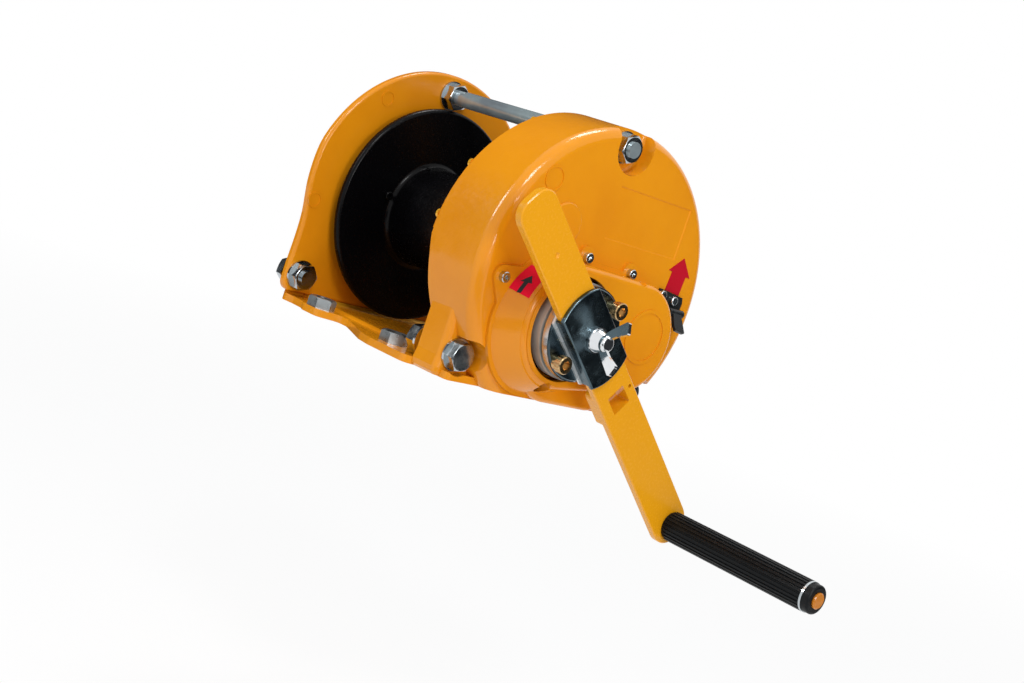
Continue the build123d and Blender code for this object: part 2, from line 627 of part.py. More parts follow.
def ratchet_wheel():
    pts = []
    for i in range(RATCHET_TEETH):
        deg = 0.8 + 360.0 * i / RATCHET_TEETH
        pts.append(polar(RATCHET_ROOT, deg, CRANK_YZ))
        pts.append(polar(RATCHET_TIP, deg + 0.6, CRANK_YZ))
        pts.append(polar(RATCHET_TIP - 0.3, deg + 3.0, CRANK_YZ))
    wheel = slab(poly(pts), RATCHET_X0 + RATCHET_PLAY, RATCHET_X1 - RATCHET_PLAY)
    return wheel - rod(RATCHET_BUSH_R + 0.05, 0, 30, CRANK_YZ)


def pressure_plate():
    plate = tube(PRESSURE_R, SHAFT_R, PRESSURE_X0, PRESSURE_X1, CRANK_YZ)
    return plate - screw_bores(SCREW_R)


def screw_bores(r):
    return rod(r, 19.0, 50, SCREW_YZ[0]) + rod(r, 19.0, 50, SCREW_YZ[1])


def brake_spacer():
    spacer = tube(BRAKE_R - 1, SHAFT_R, PRESSURE_X1, HUB_RING_X0, CRANK_YZ)
    return spacer - screw_bores(SCREW_BORE_R)


def hub_ring():
    ring = tube(HUB_RING_R, SHAFT_R, HUB_RING_X0, HUB_RING_X1, CRANK_YZ)
    return ring - screw_bores(SCREW_BORE_R) - base_screw_bores()


def hub_plate():
    plate = rod(BRAKE_R, HUB_RING_X1, HUB_FACE, CRANK_YZ)
    plate = chamfer(face_at(plate).edges(), 0.7)
    return plate - screw_bores(SCREW_BORE_R) - base_screw_bores()


def base_screw_bores():
    x0 = HUB_RING_X0 + 0.4
    spots = [arm_point(BASE_SCREW_U), arm_point(-BASE_SCREW_U)]
    return rod(BASE_SCREW_R, x0, 50, spots[0]) + rod(BASE_SCREW_R, x0, 50, spots[1])


def screw_collars():
    return [tube(5.4, SCREW_BORE_R, HUB_FACE, HUB_FACE + 3.7, yz) for yz in SCREW_YZ]


def brake_screws():
    solids = []
    for yz in SCREW_YZ:
        head = rod(6.5, 38.0, 43.7, yz)
        head = chamfer(face_at(head).edges(), 0.7) - hex_prism(6.0, 40.6, 50, yz, 15)
        for i in range(18):
            head -= rod(0.45, 37, 43.0, polar(6.6, i * 20, yz))
        solids.append(head + rod(SCREW_R, 20.0, 38.2, yz))
    return solids


# Holder, crank arm and grip
def holder_base():
    sketch = on_arm(Circle(36.0) & Rectangle(100, 41.6))
    base = slab(sketch, HUB_FACE, HUB_FACE + 2.0) - base_screw_bores()
    for u in (BASE_SCREW_U, -BASE_SCREW_U):
        base -= cone(2.6, 4.0, 35.0, 36.3, arm_point(u))
    return base


def holder_base_screws():
    solids = []
    for u in (BASE_SCREW_U, -BASE_SCREW_U):
        head = cone(2.6, 4.0, 35.0, 36.3, arm_point(u))
        head += rod(BASE_SCREW_R, HUB_RING_X0 + 0.5, 35.1, arm_point(u))
        solids.append(head - hex_prism(2.4, 35.7, 40, arm_point(u)))
    return solids


def arm_holder():
    front = slab(on_arm(Circle(HOLDER_R) & Rectangle(100, 2 * HOLDER_HALF)), 42.8, 46.0)
    front = fillet([e for e in face_at(front).edges() if e.length > 30], 1.2)
    for s in (-1, 1):
        front += slab(on_arm(Pos(0, s * (HOLDER_HALF - 0.85)) * Rectangle(60, 1.7)), 36.3, 43.5)
    return front - rod(5.0, 40, 50, CRANK_YZ)


def wing_bolt():
    y, z = CRANK_YZ
    body = rod(4.95, 43.0, 48.0, CRANK_YZ) + rod(9.6, 46.2, 47.8, CRANK_YZ)
    body += cone(8.6, 6.2, 47.8, 54.0, CRANK_YZ)
    top = rod(6.2, 53.9, 58.0, CRANK_YZ)
    body += fillet(face_at(top).edges(), 2.0)
    for s in (-1, 1):
        pts = [(50.0, s * 4.0), (54.0, s * 7.5), (58.0, s * 11.5), (67.6, s * 19.6), (69.2, s * 19.4)]
        pts += [(71.6, s * 12.6), (71.0, s * 11.2), (63.0, s * 7.4), (57.0, s * 3.0)]
        wing = extrude(Plane.XZ * poly(pts), amount=1.5, both=True)
        wing = fillet(wing.edges().filter_by(Axis.Y), 1.0)
        body += Pos(0, y, z) * Rot(WING_DEG, 0, 0) * wing
    return body


def crank_arm():
    mid = (ARM_U0 + ARM_U1 - ARM_HALF) / 2
    sketch = Pos(mid, 0) * Rectangle(ARM_U1 - ARM_HALF - ARM_U0, 2 * ARM_HALF)
    sketch = fillet([v for v in sketch.vertices() if v.X < 0], 12.5)
    sketch += Pos(ARM_U1 - ARM_HALF, 0) * Circle(ARM_HALF)
    arm = slab(on_arm(sketch), ARM_X0, ARM_X1)
    arm = chamfer(face_at(arm).edges(), 0.8)
    length = SOCKET_U1 - SOCKET_U0
    socket = RectangleRounded(length, 2 * ARM_HALF, 5)
    arm += slab(on_arm(Pos((SOCKET_U0 + SOCKET_U1) / 2, 0) * socket), 30.0, ARM_X0 + 0.2)
    arm -= slab(on_arm(Pos(SQUARE_U, 0) * RectangleRounded(SQUARE, SQUARE, 1.0)), 25, 50)
    arm -= rod(1.5, 38.5, 50, arm_point(59.0, 13.2))
    arm -= Pos(ARM_X1 + 1.3, *arm_point(-77.5, -1.0)) * Sphere(2.7)
    arm -= rod(SPINDLE_R, 30, 50, GRIP_YZ)
    return arm


def grip_spindle():
    body = rod(SPINDLE_R, ARM_X0, GRIP_X1 + GRIP_CAP_T + 1.8, GRIP_YZ)
    return chamfer(face_at(body).edges(), 0.8)


def grip():
    pts = []
    for i in range(RIBS):
        mid = 360.0 * i / RIBS
        for off, r in ((-5.2, GRIP_R - 0.9), (-3.4, GRIP_R), (3.4, GRIP_R), (5.2, GRIP_R - 0.9)):
            pts.append(polar(r, mid + off, GRIP_YZ))
    body = slab(poly(pts), GRIP_X0, GRIP_X1) + rod(GRIP_R - 1.0, ARM_X1 + 0.3, GRIP_X0 + 0.1, GRIP_YZ)
    body += rod(GRIP_END_R, GRIP_X1 - 0.2, GRIP_X1 + 4, GRIP_YZ)
    return body - rod(SPINDLE_R + GRIP_PLAY, 0, 300, GRIP_YZ)


def grip_ring():
    return tube(GRIP_R - 0.1, GRIP_END_R, GRIP_X1, GRIP_X1 + 1.8, GRIP_YZ)


def grip_cap():
    cap = rod(GRIP_R - 0.7, GRIP_X1 + 1.8, GRIP_X1 + GRIP_CAP_T, GRIP_YZ)
    cap = fillet(face_at(cap).edges(), 2.0)
    cap -= rod(GRIP_END_R, GRIP_X1 - 5, GRIP_X1 + 4, GRIP_YZ)
    return cap - rod(SPINDLE_R + GRIP_PLAY, 0, 300, GRIP_YZ)


# Pawls
def upper_pawl():
    pts = [polar(33.6, 60), polar(38.5, 60), polar(44.0, 50), polar(55.5, 29), polar(57.0, 22)]
    pts += [polar(50, 12), polar(44.0, 15), polar(41.0, 28), polar(38.2, 40), polar(35.6, 50)]
    return pawl_solid(pts, PAWL_PIVOTS[0])


def lower_pawl():
    pts = [polar(33.6, 0), polar(38.5, 0), polar(43.5, -9), polar(53.0, -30), polar(54.0, -37)]
    pts += [polar(46.0, -46), polar(41.0, -44), polar(38.8, -33), polar(37.9, -22), polar(35.6, -10)]
    return pawl_solid(pts, PAWL_PIVOTS[1])


def pawl_solid(points, pivot):
    sketch = Pos(CRANK_YZ[0], CRANK_YZ[1]) * poly(points)
    sketch += disc(PAWL_R, pivot)
    return slab(sketch, PAWL_X0, PAWL_X1) - rod(PIN_R + 0.05, 0, 20, pivot)


def pawl_pins():
    return [rod(PIN_R, -6.5, 15.7, yz) + rod(6.5, 0.0, 8.2, yz) for yz in PAWL_PIVOTS]


def pawl_springs():
    solids = []
    for yz, deg in ((PAWL_PIVOTS[0], 140.0), (PAWL_PIVOTS[1], 84.0)):
        coil = tube(6.6, PIN_R + 0.5, 14.2, 15.5, yz)
        end = polar(17.0, deg, yz)
        mid = ((yz[0] * 0.68 + end[0] * 0.32), (yz[1] * 0.68 + end[1] * 0.32))
        dy, dz = end[0] - mid[0], end[1] - mid[1]
        leg = Rot(0, 0, deg) * Rectangle(math.hypot(dy, dz), 1.4)
        leg = Pos((mid[0] + end[0]) / 2, (mid[1] + end[1]) / 2) * leg
        solids.append(coil + slab(leg, 14.2, 15.5))
    return solids


# Release lever
def bar_y(r, y0, y1, x, z):
    return Pos(x, (y0 + y1) / 2, z) * Rot(90, 0, 0) * Cylinder(r, y1 - y0)


def lever_bracket():
    pts = [(69.6, 3.2), (71.8, 8.9), (98.9, 6.2), (100.4, 2.0), (100.0, -4.5), (84.5, -5.5), (76.0, -2.0)]
    body = slab(poly(pts), 0.0, BRACKET_T)
    for y0, y1 in ((HINGE_Y0, HINGE_Y0 + KNUCKLE_W), (HINGE_Y1 - KNUCKLE_W, HINGE_Y1)):
        body += bar_y(KNUCKLE_R, y0, y1, HINGE_X, HINGE_Z)
        body += block(0.5, HINGE_X, y0, y1, HINGE_Z - 3.0, HINGE_Z + 3.0)
        body -= bar_y(HINGE_PIN_R, y0 - 0.5, y1 + 0.5, HINGE_X, HINGE_Z)
    for yz in LEVER_SCREWS:
        body -= rod(2.0, -1, 5, yz)
    return body


def lever_pin():
    return bar_y(HINGE_PIN_R, HINGE_Y0 - 0.4, HINGE_Y1 + 0.4, HINGE_X, HINGE_Z)


def lever_flap():
    y0, y1 = HINGE_Y0 + KNUCKLE_W + KNUCKLE_GAP, HINGE_Y1 - KNUCKLE_W - KNUCKLE_GAP
    pts = [(y0, 0.0), (y1, 0.0), (y1, -4.5), (y1 + 1.6, -15.6), (y1 + 0.4, -16.4)]
    pts += [(y0 + 1.0, -15.2), (y0 - 0.4, -11)]
    flap = slab(poly(pts), 0.4, 2.8)
    flap = Pos(HINGE_X, 0, HINGE_Z) * Rot(0, -30, 0) * flap
    knuckle = bar_y(KNUCKLE_R, y0, y1, HINGE_X, HINGE_Z)
    return flap + knuckle - bar_y(HINGE_PIN_R + 0.05, HINGE_Y0 - 5, HINGE_Y1 + 5, HINGE_X, HINGE_Z)


def lever_screws():
    solids = []
    for yz in LEVER_SCREWS:
        y, z = yz
        head = rod(3.6, BRACKET_T, BRACKET_T + 2.8, yz)
        head = fillet(face_at(head).edges(), 1.2) - block(4.4, 6, y - 0.5, y + 0.5, z - 5, z + 5)
        solids.append(head + rod(1.6, -5.0, BRACKET_T + 0.2, yz))
    return solids


# Labels
def arrow_label():
    pts = [(78.4, 8.6), (95.6, 6.9), (96.6, 22.0), (101.4, 22.0), (88.3, 35.5), (75.4, 23.8), (79.6, 23.4)]
    return slab(poly(pts), 0.0, 0.5)


def fan_label():
    """Thin sheet lying on the flared wall."""
    low = wall_plane(2.0) * disc(FLARE_R + 0.5, FLARE_YZ)
    high = wall_plane(18.0) * disc(BOSS_R + 1.0, CRANK_YZ)
    skin = loft([low, high]) - flare()
    wedge = [(0, 0), polar(80, 164), polar(80, 152), polar(80, 139)]
    wedge = slab(Pos(CRANK_YZ[0], CRANK_YZ[1]) * poly(wedge), 2.8, 16.0)
    return (skin & wedge) - slab(hull2(CRANK_YZ, BOSS_R, LOBE_YZ, LOBE_R), 0, COVER_X)


# Frame fasteners
def foot_bolts():
    seat, tip = FOOT_X1 + WASHER_T, BASE_X1 - TAB_T - WASHER_T - 13.5
    solids = []
    for yz in CASE_FOOT_YZ:
        solids.append(hex_body(M12_ACROSS, seat, seat + 7.5, yz, 8, "+") + rod(M12_R, tip, seat + 0.2, yz))
    for yz in PLATE_FOOT_YZ:
        head = hex_body(M12_ACROSS, BASE_X0 - 6.5, BASE_X0, yz, 20, "-")
        solids.append(head + rod(M12_R, BASE_X0 - 0.2, PLATE_X1 + 11.5, yz))
    return solids


def frame_washers():
    spots = [(x, yz) for yz in CASE_FOOT_YZ for x in (FOOT_X1, BASE_X1 - TAB_T - WASHER_T)]
    spots += [(PLATE_X1, yz) for yz in PLATE_FOOT_YZ]
    spots += [(x, TIE_YZ) for x in (-14.0, PLATE_X1, PLATE_X0 - WASHER_T)]
    return [tube(WASHER_R, M12_HOLE_R, x, x + WASHER_T, yz) for x, yz in spots]


def foot_nuts():
    solids = []
    seat = BASE_X1 - TAB_T - WASHER_T
    for yz in CASE_FOOT_YZ:
        solids.append(hex_body(M12_ACROSS, seat - 10, seat, yz, 12, "-") - rod(M12_R, -80, 0, yz))
    for yz in PLATE_FOOT_YZ:
        start = PLATE_X1 + WASHER_T
        solids.append(hex_body(M12_ACROSS, start, start + 7.0, yz, 6, "+") - rod(M12_R, -240, -100, yz))
    return solids


def tie_rod():
    body = rod(M12_R, PLATE_X0 - 14.5, PLATE_X1 + 20, TIE_YZ) + rod(M12_R, -20.4, -1.5, TIE_YZ)
    return body + rod(TIE_BODY_R, PLATE_X1 + 19.8, -20.2, TIE_YZ)


def tie_rod_nuts():
    inner, outer = PLATE_X1 + WASHER_T, PLATE_X0 - WASHER_T
    spans = ((-12.0, -3.2, "+"), (inner, inner + 8.8, "+"), (outer - 8.8, outer, "-"))
    return [hex_body(M12_ACROSS, a, b, TIE_YZ, 20, e) - rod(M12_R, -250, 20, TIE_YZ) for a, b, e in spans]


NODES = [
    ("base_plate", base_plate), ("base_nuts", base_nuts), ("left_side_plate", left_side_plate),
    ("gear_case", gear_case), ("back_plate", back_plate), ("back_plate_screws", back_plate_screws),
    ("bearing_plate", bearing_plate), ("bearing_plate_screws", bearing_plate_screws),
    ("gear_cover", gear_cover), ("cover_screws", cover_screws), ("drum_barrel", drum_barrel),
    ("drum_flanges", drum_flanges), ("drum_bushes", drum_bushes), ("drum_axle", drum_axle),
    ("axle_keeper", axle_keeper),
    ("axle_keeper_screws", axle_keeper_screws), ("axle_spacers", axle_spacers),
    ("rope_clamp_screw", rope_clamp_screw), ("ring_gear", ring_gear),
    ("ring_gear_screws", ring_gear_screws),
    ("intermediate_shaft", intermediate_shaft), ("intermediate_gear", intermediate_gear),
    ("intermediate_bushes", intermediate_bushes), ("crank_shaft", crank_shaft), ("crank_gear", crank_gear),
    ("crank_bushes", crank_bushes), ("brake_flange", brake_flange), ("friction_discs", friction_discs),
    ("ratchet_bush", ratchet_bush), ("ratchet_wheel", ratchet_wheel), ("pressure_plate", pressure_plate),
    ("brake_spacer", brake_spacer), ("hub_ring", hub_ring), ("hub_plate", hub_plate),
    ("screw_collars", screw_collars), ("brake_screws", brake_screws), ("holder_base", holder_base),
    ("holder_base_screws", holder_base_screws), ("arm_holder", arm_holder), ("wing_bolt", wing_bolt),
    ("crank_arm", crank_arm), ("grip_spindle", grip_spindle), ("grip", grip), ("grip_ring", grip_ring),
    ("grip_cap", grip_cap), ("upper_pawl", upper_pawl), ("lower_pawl", lower_pawl),
    ("pawl_pins", pawl_pins),
    ("pawl_springs", pawl_springs), ("lever_bracket", lever_bracket), ("lever_pin", lever_pin),
    ("lever_flap", lever_flap), ("lever_screws", lever_screws), ("arrow_label", arrow_label),
    ("fan_label", fan_label), ("foot_bolts", foot_bolts), ("frame_washers", frame_washers),
    ("foot_nuts", foot_nuts), ("tie_rod", tie_rod), ("tie_rod_nuts", tie_rod_nuts),
]


def main():
    os.makedirs("parts", exist_ok=True)
    shift = Pos(FACE_X, 0, AXIS_Z)
    for name, make in NODES:
        shape = make()
        items = shape if isinstance(shape, list) else [shape]
        solids = [s for item in items for s in (shift * item).solids()]
        whole = solids[0] if len(solids) == 1 else Compound(children=solids)
        export_step(whole, f"parts/{name}.step")
        print(name, len(solids), round(sum(s.volume for s in solids)))


main()
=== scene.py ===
import math

import bmesh
import bpy
from mathutils import Matrix, Vector


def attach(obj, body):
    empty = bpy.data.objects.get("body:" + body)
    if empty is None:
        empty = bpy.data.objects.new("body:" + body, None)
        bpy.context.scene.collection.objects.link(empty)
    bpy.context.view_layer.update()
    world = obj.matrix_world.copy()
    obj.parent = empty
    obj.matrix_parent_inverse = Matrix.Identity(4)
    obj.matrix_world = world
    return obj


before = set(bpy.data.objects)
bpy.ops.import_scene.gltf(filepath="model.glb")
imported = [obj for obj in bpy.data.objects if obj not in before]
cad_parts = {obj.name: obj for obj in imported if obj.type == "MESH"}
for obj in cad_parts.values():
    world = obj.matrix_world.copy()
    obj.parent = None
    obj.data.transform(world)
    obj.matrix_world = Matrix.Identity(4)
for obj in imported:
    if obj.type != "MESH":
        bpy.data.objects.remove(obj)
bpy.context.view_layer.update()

# Camera, in metres and degrees
CAMERA_AT = (0.92254, -0.86810, 0.14864)
AZIMUTH, ELEVATION, ROLL = 44.415, 5.592, 18.61
LENS_MM, SENSOR_MM = 57.06, 36.0

# Stage
FLOOR_Z = -0.32
STAGE_SIZE = 12.0
BACKDROP = (1.0, 1.0, 1.0)
WORLD_STRENGTH = 0.42
FLOOR_GLOW = 0.86
FADE = (0.5, 2.6)

# Lamps and dark cards: place and size in metres, power in watts
AIM = (0.05, 0.0, 0.1)
LAMPS = {
    "key": ((1.05, -0.75, 1.35), (0.4, 0.4), 10),
    "left": ((-0.9, -1.5, 1.0), (0.3, 0.6), 9),
    "front": ((1.7, -0.5, 0.45), (0.4, 0.6), 8.5),
    "top": ((-0.2, 0.3, 1.7), (0.6, 0.4), 10),
}
CARD_AIM, CARD_LOW_AIM = (0.1, 0.0, 0.1), (0.6, -0.3, 1.0)
CARDS = {
    "card_right": ((1.1, 1.15, 0.15), CARD_AIM, 1.7, 1.5),
    "card_low": ((0.9, -0.5, -0.29), CARD_LOW_AIM, 1.4, 1.0),
    "card_behind": ((-1.6, 0.0, 0.3), CARD_AIM, 3.8, 3.4),
}

# Drawing, whose zero lies here in metres, and its sizes in millimetres
ORIGIN = (0.131, 0.0, 0.094)
PLATE_X, PLATE_HALF, PLATE_FOOT, BASE_FACE = (-216.6, -210.9), 78.0, -85.9, -88.6
RECESS_Y, RECESS_Z, RECESS_DEEP, RECESS_SLOPE = (-4.0, 78.0), (32.0, 71.5), 0.8, 0.9
CONE_X, CONE_R = (2.0, 18.0), (51.5, 47.0)
CONE_Y, CONE_Z = (-36.0, -28.2), (-39.5, -35.4)
MARK_DEG, MARK_NECK_DEG, MARK_TIP_DEG = 160.0, 149.5, 142.0
MARK_MID, MARK_HALF, MARK_HEAD = 0.46, 0.075, 0.20

# Colours, linear: main and second tone
ORANGE = (0.80, 0.300, 0.006), (0.72, 0.245, 0.005)
SPINDLE_ORANGE = (0.58, 0.195, 0.010), (0.48, 0.15, 0.008)
ARM_YELLOW = (0.81, 0.355, 0.006), (0.80, 0.34, 0.006)
DRUM_BLACK = (0.0016, 0.0015, 0.0020), (0.0024, 0.0023, 0.0028)
NUT_ZINC = (0.34, 0.37, 0.38), (0.22, 0.24, 0.25)
ZINC = (0.62, 0.66, 0.68), (0.42, 0.46, 0.48)
BOLT_STEEL = (0.62, 0.66, 0.68), (0.36, 0.40, 0.42)
# Tie rod: steel grey with a painted blue-grey sheen, set half diffuse so the polished rod looks lit
# without its reflections
ROD_STEEL_AND_PAINTED_SHEEN = (0.44, 0.54, 0.56), (0.30, 0.35, 0.38)
TURNED_STEEL = (0.66, 0.69, 0.70), (0.5, 0.53, 0.55)
DARK_STEEL = (0.045, 0.045, 0.05), (0.09, 0.09, 0.095)
# Holder and hub plate: dark blue-grey steel tone that also holds a painted dark reflection, the plated
# holder's dark mirror look set into its base colour
SLATE_AND_DARK_REFLECTION = (0.11, 0.155, 0.175), (0.06, 0.09, 0.11)
GOLD = (0.72, 0.54, 0.32), (0.52, 0.34, 0.16)
# Pressure plate: silver with a brown tint that is a painted reflection of the orange casing around it
RING_STEEL_AND_PAINTED_REFLECTION = (0.50, 0.48, 0.44), (0.34, 0.31, 0.27)
SATIN_PLATE = (0.74, 0.76, 0.76), (0.60, 0.63, 0.64)
CHROME = (0.80, 0.82, 0.84), (0.70, 0.73, 0.75)
BRONZE = (0.50, 0.30, 0.12), (0.42, 0.24, 0.09)
LINING = (0.16, 0.09, 0.05), (0.10, 0.055, 0.03)
GRIP_BLACK = (0.004, 0.005, 0.006), (0.007, 0.008, 0.009)
LABEL_RED = (0.53, 0.006, 0.022), (0.46, 0.004, 0.016)
# Fan label: the label red made brighter, painted light that lifts the fan label out of the shade it sits
# in
FAN_RED_PAINTED_LIGHT = (0.90, 0.008, 0.044), (0.74, 0.006, 0.030)
LEVER_BLACK = (0.010, 0.011, 0.012), (0.018, 0.02, 0.021)


# Node helpers
def new_material(name):
    mat = bpy.data.materials.new(name)
    mat.use_nodes = True
    nodes = mat.node_tree.nodes
    return mat, nodes, mat.node_tree.links, nodes["Principled BSDF"]


def place(nodes, links, scale=(1, 1, 1)):
    """Object coordinates, scaled."""
    coord = nodes.new("ShaderNodeTexCoord")
    mapping = nodes.new("ShaderNodeMapping")
    mapping.inputs["Scale"].default_value = scale
    links.new(coord.outputs["Object"], mapping.inputs["Vector"])
    return mapping.outputs["Vector"]


def noise(nodes, links, vector, scale, detail=3.0):
    tex = nodes.new("ShaderNodeTexNoise")
    tex.inputs["Scale"].default_value = scale
    tex.inputs["Detail"].default_value = detail
    tex.inputs["Roughness"].default_value = 0.55
    links.new(vector, tex.inputs["Vector"])
    return tex.outputs["Fac"]


def spread(nodes, links, value, low, high, to_low, to_high):
    node = nodes.new("ShaderNodeMapRange")
    node.inputs["From Min"].default_value = low
    node.inputs["From Max"].default_value = high
    node.inputs["To Min"].default_value = to_low
    node.inputs["To Max"].default_value = to_high
    links.new(value, node.inputs["Value"])
    return node.outputs["Result"]


def mix_colour(nodes, links, factor, first, second):
    node = nodes.new("ShaderNodeMix")
    node.data_type = "RGBA"
    node.inputs[6].default_value = (*first, 1)
    node.inputs[7].default_value = (*second, 1)
    links.new(factor, node.inputs[0])
    return node.outputs[2]


def bump(nodes, links, height, strength, distance, after=None):
    node = nodes.new("ShaderNodeBump")
    node.inputs["Strength"].default_value = strength
    node.inputs["Distance"].default_value = distance
    links.new(height, node.inputs["Height"])
    if after is not None:
        links.new(after, node.inputs["Normal"])
    return node.outputs["Normal"]


def paint(name, tones, rough=0.17, peel=0.26, coat=0.12, gloss=0.34):
    """Gloss paint with a slight orange peel and slow changes of tone."""
    mat, nodes, links, bsdf = new_material(name)
    where = place(nodes, links)
    tone = noise(nodes, links, where, 9.0, 4.0)
    links.new(mix_colour(nodes, links, spread(nodes, links, tone, 0.35, 0.65, 0, 1), *tones),
              bsdf.inputs["Base Color"])
    fine = noise(nodes, links, where, 420.0, 2.0)
    waves = noise(nodes, links, where, 55.0, 2.0)
    links.new(spread(nodes, links, fine, 0.3, 0.7, rough - 0.05, rough + 0.07), bsdf.inputs["Roughness"])
    first = bump(nodes, links, fine, peel, 0.0003)
    links.new(bump(nodes, links, waves, peel, 0.0012, first), bsdf.inputs["Normal"])
    bsdf.inputs["Specular IOR Level"].default_value = gloss
    bsdf.inputs["Coat Weight"].default_value = coat
    bsdf.inputs["Coat Roughness"].default_value = 0.08
    return mat


def metal(name, tones, rough, grain=(1, 1, 1), strength=0.12, metallic=1.0):
    """Plated or bare metal with fine grain and uneven tone."""
    mat, nodes, links, bsdf = new_material(name)
    where = place(nodes, links, grain)
    tone = noise(nodes, links, place(nodes, links), 38.0, 4.0)
    links.new(mix_colour(nodes, links, spread(nodes, links, tone, 0.35, 0.65, 0, 1), *tones),
              bsdf.inputs["Base Color"])
    fine = noise(nodes, links, where, 160.0)
    links.new(spread(nodes, links, fine, 0.3, 0.7, rough * 0.75, rough * 1.3), bsdf.inputs["Roughness"])
    links.new(bump(nodes, links, fine, strength, 0.0002), bsdf.inputs["Normal"])
    bsdf.inputs["Metallic"].default_value = metallic
    return mat


def moulded(name, tones, rough, strength=0.2, gloss=0.25):
    """Plastic or matt black surface with a fine moulded texture."""
    mat, nodes, links, bsdf = new_material(name)
    where = place(nodes, links)
    tone = noise(nodes, links, where, 30.0)
    links.new(mix_colour(nodes, links, tone, *tones), bsdf.inputs["Base Color"])
    fine = noise(nodes, links, where, 900.0, 2.0)
    links.new(spread(nodes, links, fine, 0.3, 0.7, rough - 0.06, rough + 0.08), bsdf.inputs["Roughness"])
    links.new(bump(nodes, links, fine, strength, 0.0002), bsdf.inputs["Normal"])
    bsdf.inputs["Specular IOR Level"].default_value = gloss
    return mat


def paint_nodes(mat, *names):
    for name in names:
        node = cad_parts[name]
        node.data.materials.clear()
        node.data.materials.append(mat)


def dress_painted():
    paint_nodes(paint("orange_paint", ORANGE), "gear_case", "gear_cover", "back_plate",
                "left_side_plate", "base_plate", "axle_keeper")
    paint_nodes(paint("spindle_paint", SPINDLE_ORANGE, 0.2), "grip_spindle")
    paint_nodes(paint("arm_paint", ARM_YELLOW, 0.24, 0.1), "crank_arm")
    drum = paint("drum_paint", DRUM_BLACK, 0.22, 0.08, 0.0, 0.12)
    paint_nodes(drum, "drum_barrel", "drum_flanges", "ring_gear_screws", "rope_clamp_screw")
    paint_nodes(bpy.data.materials["orange_paint"], "back_plate_screws")


def dress_metal():
    across, along = (1, 0.05, 0.05), (0.05, 1, 1)
    paint_nodes(metal("rough_zinc", NUT_ZINC, 0.32), "base_nuts")
    zinc = metal("zinc_plate", ZINC, 0.16)
    paint_nodes(zinc, "bearing_plate_screws", "axle_keeper_screws", "frame_washers", "foot_nuts",
                "tie_rod_nuts", "lever_screws", "grip_ring", "cover_screws", "holder_base_screws",
                "pawl_springs", "lever_pin")
    paint_nodes(metal("bolt_steel", BOLT_STEEL, 0.2), "foot_bolts")
    # the half-diffuse blue-grey colour paints the polished rod's reflected sheen into its base colour
    paint_nodes(metal("polished_rod_painted_sheen", ROD_STEEL_AND_PAINTED_SHEEN, 0.2, along, metallic=0.55), "tie_rod")
    paint_nodes(metal("turned_steel", TURNED_STEEL, 0.16, across), "hub_ring")
    dark = metal("dark_steel", DARK_STEEL, 0.3)
    paint_nodes(dark, "bearing_plate", "drum_axle", "axle_spacers", "ring_gear", "intermediate_shaft",
                "intermediate_gear", "crank_shaft", "crank_gear", "brake_flange", "ratchet_wheel",
                "brake_spacer", "upper_pawl", "lower_pawl", "pawl_pins")
    # the dark slate base colour partly paints in the dark reflection of the plated holder; the hub plate
    # shares it
    paint_nodes(metal("slate_and_dark_reflection", SLATE_AND_DARK_REFLECTION, 0.24), "hub_plate", "arm_holder")
    paint_nodes(metal("yellow_zinc", GOLD, 0.18), "screw_collars", "brake_screws")
    # the brown tint paints in the reflection of the orange bore; metallic is lowered so the grey shows
    paint_nodes(metal("ring_steel_painted_reflection", RING_STEEL_AND_PAINTED_REFLECTION, 0.3, (1, 0.1, 0.1), metallic=0.45), "pressure_plate")
    paint_nodes(metal("satin_plate", SATIN_PLATE, 0.24, metallic=0.5), "holder_base")
    paint_nodes(metal("wing_chrome", CHROME, 0.08, strength=0.05), "wing_bolt")
    bronze = metal("bronze_bush", BRONZE, 0.32)
    paint_nodes(bronze, "drum_bushes", "intermediate_bushes", "crank_bushes", "ratchet_bush")


def dress_moulded():
    paint_nodes(moulded("friction_lining", LINING, 0.7, 0.5), "friction_discs")
    paint_nodes(moulded("grip_plastic", GRIP_BLACK, 0.38, gloss=0.15), "grip", "grip_cap")
    paint_nodes(moulded("red_print", LABEL_RED, 0.4, 0.05, 0.1), "arrow_label")
    # the fan label gets a brighter copy of the label red: painted light
    paint_nodes(moulded("fan_print_painted_light", FAN_RED_PAINTED_LIGHT, 0.4, 0.05, 0.1), "fan_label")
    paint_nodes(moulded("black_steel", LEVER_BLACK, 0.34), "lever_bracket", "lever_flap")


# Small forms that the drawing leaves to this script
def drawn(x, y, z):
    return Vector((x, y, z)) / 1000 + Vector(ORIGIN)


def solid(name, points, faces, mat):
    """Closed piece that rides on the frame."""
    mesh = bpy.data.meshes.new(name)
    mesh.from_pydata(points, [], faces)
    shape = bmesh.new()
    shape.from_mesh(mesh)
    bmesh.ops.recalc_face_normals(shape, faces=shape.faces)
    shape.to_mesh(mesh)
    shape.free()
    mesh.materials.append(mat)
    piece = bpy.data.objects.new(name, mesh)
    bpy.context.scene.collection.objects.link(piece)
    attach(piece, "frame")


def ring_of_loops(loops):
    """Faces between closed loops of equal length, the last joined to the first."""
    count = len(loops[0])
    points = [p for loop in loops for p in loop]
    faces = []
    for i in range(len(loops)):
        a, b = i * count, (i + 1) % len(loops) * count
        for j in range(count):
            k = (j + 1) % count
            faces.append((a + j, a + k, b + k, b + j))
    return points, faces


def bar(profile, y0, y1):
    """Closed bar along Y from a profile of X and Z."""
    count = len(profile)
    points = [drawn(x, y, z) for y in (y0, y1) for x, z in profile]
    faces = [(j, (j + 1) % count, count + (j + 1) % count, count + j) for j in range(count)]
    return points, faces + [tuple(range(count)), tuple(range(count, 2 * count))]


